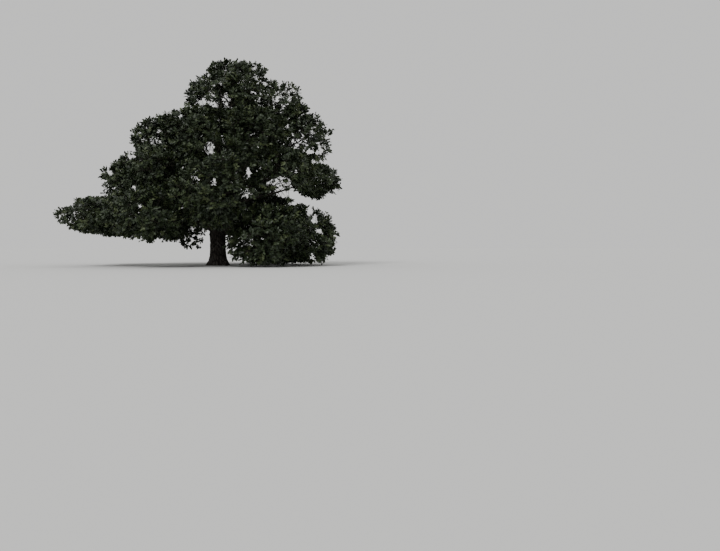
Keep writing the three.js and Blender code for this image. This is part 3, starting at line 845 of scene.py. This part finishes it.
class Shoots(Growth):
    """Short leafy shoots along one bough, in the shade inside the crown."""

    def __init__(self, mass):
        rng = self.rng = np.random.default_rng(SHOOT_SEED + mass.seed)
        self.within = None
        run = SHOOTS_TO - SHOOTS_FROM
        count = round(mass.limb.length * run / SHOOT_SPACING)
        self.roots = mass.limb.at(SHOOTS_FROM + run * (np.arange(count) + rng.random(count)) / count)
        self.ways = unit(rng.normal(0, 1, (count, 3)) + SHOOT_RISE * UP)
        self.centres = self.roots + self.ways * rng.uniform(*SHOOT_LENGTH, (count, 1))
        if mass.tier["hangs"]:
            self.add(*self.band_round_stem(mass))
        lowest = np.where(self.centres[:, 0] > TRUNK_WIDTH, LOWEST_SHOOT_RIGHT, LOWEST_SHOOT_LEFT)
        high = self.centres[:, 2] > lowest
        self.roots, self.ways, self.centres = self.roots[high], self.ways[high], self.centres[high]
        radii = rng.uniform(*SHOOT_RADIUS, len(self.centres))
        if mass.name in HANGING_FROM:
            self.add(*self.hanging(mass))
            radii = np.concatenate([radii, rng.uniform(*HANGING_RADIUS, HANGING_TWIGS)])
        of, ends = sprays_in(rng, self.centres, self.ways, radii)
        used = self.keep(of, self.centres, self.ways, ends)
        self.wood = joined([fine_twigs(self.roots[used], self.centres[used]), self.twiglets])

    def add(self, roots, centres):
        """Adds shoots that run from their roots to their centres."""
        self.roots = np.concatenate([self.roots, roots])
        self.ways = np.concatenate([self.ways, unit(centres - roots)])
        self.centres = np.concatenate([self.centres, centres])

    def band_round_stem(self, mass):
        """Shoots between the stem and the mass, in the band over the lowest boughs: their roots and ends."""
        turn = math.atan2(mass.out[1], mass.out[0]) + self.rng.uniform(-BAND_TURN, BAND_TURN, BAND_SHOOTS)
        far = self.rng.uniform(*BAND_REACH, BAND_SHOOTS)
        height = self.rng.uniform(*BAND_HEIGHT, BAND_SHOOTS)
        centres = np.stack([far * np.cos(turn), far * np.sin(turn), height], axis=1)
        away = np.linalg.norm(centres[:, None] - mass.limb.points[None], axis=-1)
        return mass.limb.points[np.argmin(away, axis=1)], centres

    def hanging(self, mass):
        """Twigs that hang from the bough into the opening beside the trunk: their roots and their ends."""
        away = self.rng.uniform(*HANGING_PLACE, HANGING_TWIGS)
        roots = mass.limb.points[np.argmin(np.abs(mass.limb.points[:, 0] + away[:, None]), axis=1)]
        lowest = np.interp(away, HANGING_PLACE, HANGING_LOWEST)
        height = lowest + (roots[:, 2] - lowest) * self.rng.random(HANGING_TWIGS)
        aside = roots[:, 1] + self.rng.uniform(-HANGING_ASIDE, HANGING_ASIDE, HANGING_TWIGS)
        return roots, np.stack([-away, aside, height], axis=1)


twig_bark = bark_material("twig_bark", BARK_DARK_AND_SHADE, TWIG_MID, TWIG_PALE)
groups = {tier["name"]: [mass for mass in masses if mass.tier is tier] for tier in TIERS}
groups["upper"] += groups.pop("top")
growths_of = {}
for group, members in groups.items():
    growths_of[group] = [kind(mass) for mass in members for kind in (Sprays, Shoots)]
    twigs = joined_mesh(f"twigs_{group}", *joined([growth.wood for growth in growths_of[group]]))
    twigs.data.materials.append(twig_bark)
    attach(twigs, "root")
    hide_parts(*[f"foliage_{mass.name}" for mass in members])

# Leaves
# Small leathery evergreen leaves, oval and bowed down at their edges, dark green with a slight gloss. Each
# one here stands for a few. They sit in sprays, by turns to each hand, and a spray has one green.
LEAVES_IN_SPRAY = 9
FIRST_LEAF = 0.6
LEAF_LENGTH = 0.215
LEAF_LENGTH_VARIES = (0.75, 1.2)
LEAF_WIDTH = 0.58
LEAF_FOLD = 0.1
LEAF_EDGE = 1.03
LEAF_AHEAD = 0.75
LEAF_ASIDE = (0.5, 1.1)
LEAF_ASTRAY = 0.28
FACING_OUT, FACING_UP, FACING_ASTRAY = 0.7, 0.6, 0.5
SPRAY_TILT = 0.4
GREENS = {
    "deep": dict(colour=(0.013, 0.021, 0.009), share=0.3),
    "dark": dict(colour=(0.02, 0.031, 0.012), share=0.35),
    "mid": dict(colour=(0.031, 0.046, 0.017), share=0.23),
    "young": dict(colour=(0.05, 0.066, 0.025), share=0.12),
}
MOTTLE_SCALE, MOTTLE_DETAIL = 30, 3
MOTTLE_FROM, MOTTLE_TO = 0.3, 0.7
MOTTLE_DARK, MOTTLE_PALE = 0.75, 1.25
LEAF_BUMP, LEAF_BUMP_HEIGHT = 0.25, 0.01
LEAF_ROUGHNESS, LEAF_GLOSS = 0.5, 0.35

# A leaf's outline: how far along it, how far to its side and how far down each corner lies.
LEAF_OUTLINE = np.array([
    (0, 0, 0), (0.26, 0.4, 0.8), (0.6, 0.48, 1), (1, 0, 0.4), (0.6, -0.48, 1), (0.26, -0.4, 0.8),
])
LEAF_FACES = np.array([(0, 2, 1), (0, 3, 2), (0, 4, 3), (0, 5, 4)])


def leaf_material(name, colour):
    """A leathery leaf: its own green, mottled a little, with a soft gloss."""
    material, shader = new_finish(name, LEAF_ROUGHNESS, LEAF_GLOSS)
    link = material.node_tree.links.new
    place = add_node(material, "ShaderNodeTexCoord").outputs["Object"]
    mottle = noise(material, place, MOTTLE_SCALE, MOTTLE_DETAIL)
    dark, pale = ([share * c for c in colour] for share in (MOTTLE_DARK, MOTTLE_PALE))
    link(colour_run(material, mottle, MOTTLE_FROM, dark, MOTTLE_TO, pale), shader.inputs["Base Color"])
    link(bump(material, mottle, LEAF_BUMP, LEAF_BUMP_HEIGHT), shader.inputs["Normal"])
    return material


def leaves_on(growth, mine):
    """The leaves of some of a growth's sprays as joined points and faces, drawn into the growth's space."""
    rng = growth.rng
    starts, outs = growth.starts[mine], growth.outs[mine]
    stalk = growth.ends[mine] - starts
    count, each = len(starts), LEAVES_IN_SPRAY
    along = (np.arange(each) + FIRST_LEAF) / each
    roots = starts[:, None] + stalk[:, None] * along[None, :, None]
    ahead = unit(stalk)[:, None]
    facing = unit(outs + UP + rng.normal(0, SPRAY_TILT, outs.shape))
    side = unit(np.cross(ahead[:, 0], facing))[:, None]
    hand = np.where(np.arange(each) % 2 == 0, 1.0, -1.0)[None, :, None]
    lean = hand * side * rng.uniform(*LEAF_ASIDE, (count, each, 1))
    heading = unit(ahead * LEAF_AHEAD + lean + rng.normal(0, LEAF_ASTRAY, (count, each, 3)))
    astray = rng.normal(0, FACING_ASTRAY, (count, each, 3))
    across = unit(np.cross(unit(outs[:, None] * FACING_OUT + UP * FACING_UP + astray), heading))
    face = np.cross(heading, across)
    length = LEAF_LENGTH * rng.uniform(*LEAF_LENGTH_VARIES, (count, each, 1, 1))
    forward, sideways, down = (LEAF_OUTLINE[None, None, :, i, None] for i in range(3))
    points = roots[:, :, None] + (
        heading[:, :, None] * forward * length
        + across[:, :, None] * sideways * length * LEAF_WIDTH
        - face[:, :, None] * down * length * LEAF_FOLD
    )
    if growth.within:
        drawn = growth.within.held(points, LEAF_EDGE) - points
        farthest = np.argmax(np.linalg.norm(drawn, axis=-1), axis=-1)[..., None, None]
        points = points + np.take_along_axis(drawn, farthest, axis=2)
    points = points.reshape(-1, 3)
    first = np.arange(count * each)[:, None, None] * len(LEAF_OUTLINE)
    faces = (first + LEAF_FACES[None]).reshape(-1, 3)
    return points, faces, straight_grain(points)


greens = list(GREENS)
shares = [GREENS[green]["share"] for green in greens]
for growths in growths_of.values():
    for growth in growths:
        growth.greens = growth.rng.choice(len(greens), len(growth.starts), p=shares)
for number, green in enumerate(greens):
    material = leaf_material(f"leaf_{green}", GREENS[green]["colour"])
    for group, members in groups.items():
        parts = [leaves_on(growth, growth.greens == number) for growth in growths_of[group]]
        leaves = joined_mesh(f"leaves_{group}_{green}", *joined(parts))
        leaves.data.materials.append(material)
        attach(leaves, "root")
        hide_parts(*[f"foliage_{mass.name}" for mass in members])

# Floor, light and camera
# A plain pale floor that runs out of sight, soft light from all over with a broad lamp from the upper left,
# and the camera low and far off, turned to the right of the tree so that it stands where the photo has it.
FLOOR_RADIUS = 600
FLOOR_SIDES = 128
FLOOR_COLOUR = (0.62, 0.62, 0.61)
FLOOR_ROUGHNESS, FLOOR_GLOSS = 0.9, 0.5
SKY_COLOUR = (0.78, 0.78, 0.77)
LAMP_STRENGTH = 2.2
LAMP_SPREAD = 25
LAMP_TILT, LAMP_TURN = 48, -35
CAMERA_YAW = 10.07
CAMERA_PITCH = 2.1
CAMERA_LENS = 40
CAMERA_SEES_TO = 2000

turn = np.arange(FLOOR_SIDES) * 2 * math.pi / FLOOR_SIDES
floor_points = FLOOR_RADIUS * np.stack([np.cos(turn), np.sin(turn), 0 * turn], axis=-1)
floor = joined_mesh("floor", floor_points, np.arange(FLOOR_SIDES)[None])
floor_finish, floor_shader = new_finish("pale_floor", FLOOR_ROUGHNESS, FLOOR_GLOSS)
floor_shader.inputs["Base Color"].default_value = (*FLOOR_COLOUR, 1)
floor.data.materials.append(floor_finish)

world = bpy.data.worlds.new("soft_light")
world.use_nodes = True
world.node_tree.nodes["Background"].inputs["Color"].default_value = (*SKY_COLOUR, 1)
world.node_tree.nodes["Background"].inputs["Strength"].default_value = 1.0
bpy.context.scene.world = world
lamp = bpy.data.lights.new("broad_lamp", "SUN")
lamp.energy = LAMP_STRENGTH
lamp.angle = math.radians(LAMP_SPREAD)
lamp_object = bpy.data.objects.new("broad_lamp", lamp)
lamp_object.rotation_euler = (math.radians(LAMP_TILT), 0, math.radians(LAMP_TURN))
bpy.context.scene.collection.objects.link(lamp_object)

camera_data = bpy.data.cameras.new("camera")
camera_data.lens = CAMERA_LENS
camera_data.clip_end = CAMERA_SEES_TO
camera = bpy.data.objects.new("camera", camera_data)
camera.location = (0, -VIEW_DISTANCE, VIEW_HEIGHT)
camera.rotation_euler = (math.radians(90 - CAMERA_PITCH), 0, -math.radians(CAMERA_YAW))
bpy.context.scene.collection.objects.link(camera)
bpy.context.scene.camera = camera
